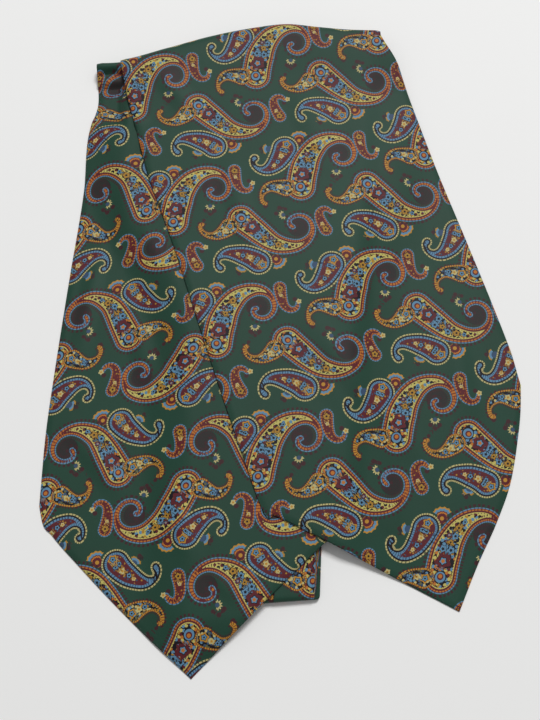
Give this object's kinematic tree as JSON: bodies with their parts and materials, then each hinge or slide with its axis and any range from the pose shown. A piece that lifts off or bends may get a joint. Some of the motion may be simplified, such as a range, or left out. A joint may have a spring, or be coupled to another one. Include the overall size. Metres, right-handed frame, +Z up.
{
  "type": "silk cravat",
  "caption": "Silk day cravat with a paisley print, folded in four with its two pointed blades crossed and lying flat on its pleated neck band.",
  "frame": {"origin": "on the surface the cravat lies on, below the middle of its bounding box", "axes": "+Y from the blades' points towards the top fold, +X to the right as the cravat is seen from above, +Z up out of the surface"},
  "size_m": [0.2359, 0.3467, 0.0086],
  "materials": {
    "right_silk": "fine printed silk twill with a soft sheen, dark green ground with paisleys in blue, orange, maroon, yellow and cream",
    "left_silk": "fine printed silk twill with a soft sheen, the same print running the other way up",
    "band_silk": "the same printed silk twill, pressed into lengthwise pleats"
  },
  "bodies": {
    "root": {"right_blade": "right_silk", "left_blade": "left_silk", "neck_band": "band_silk"}
  },
  "joints": []
}
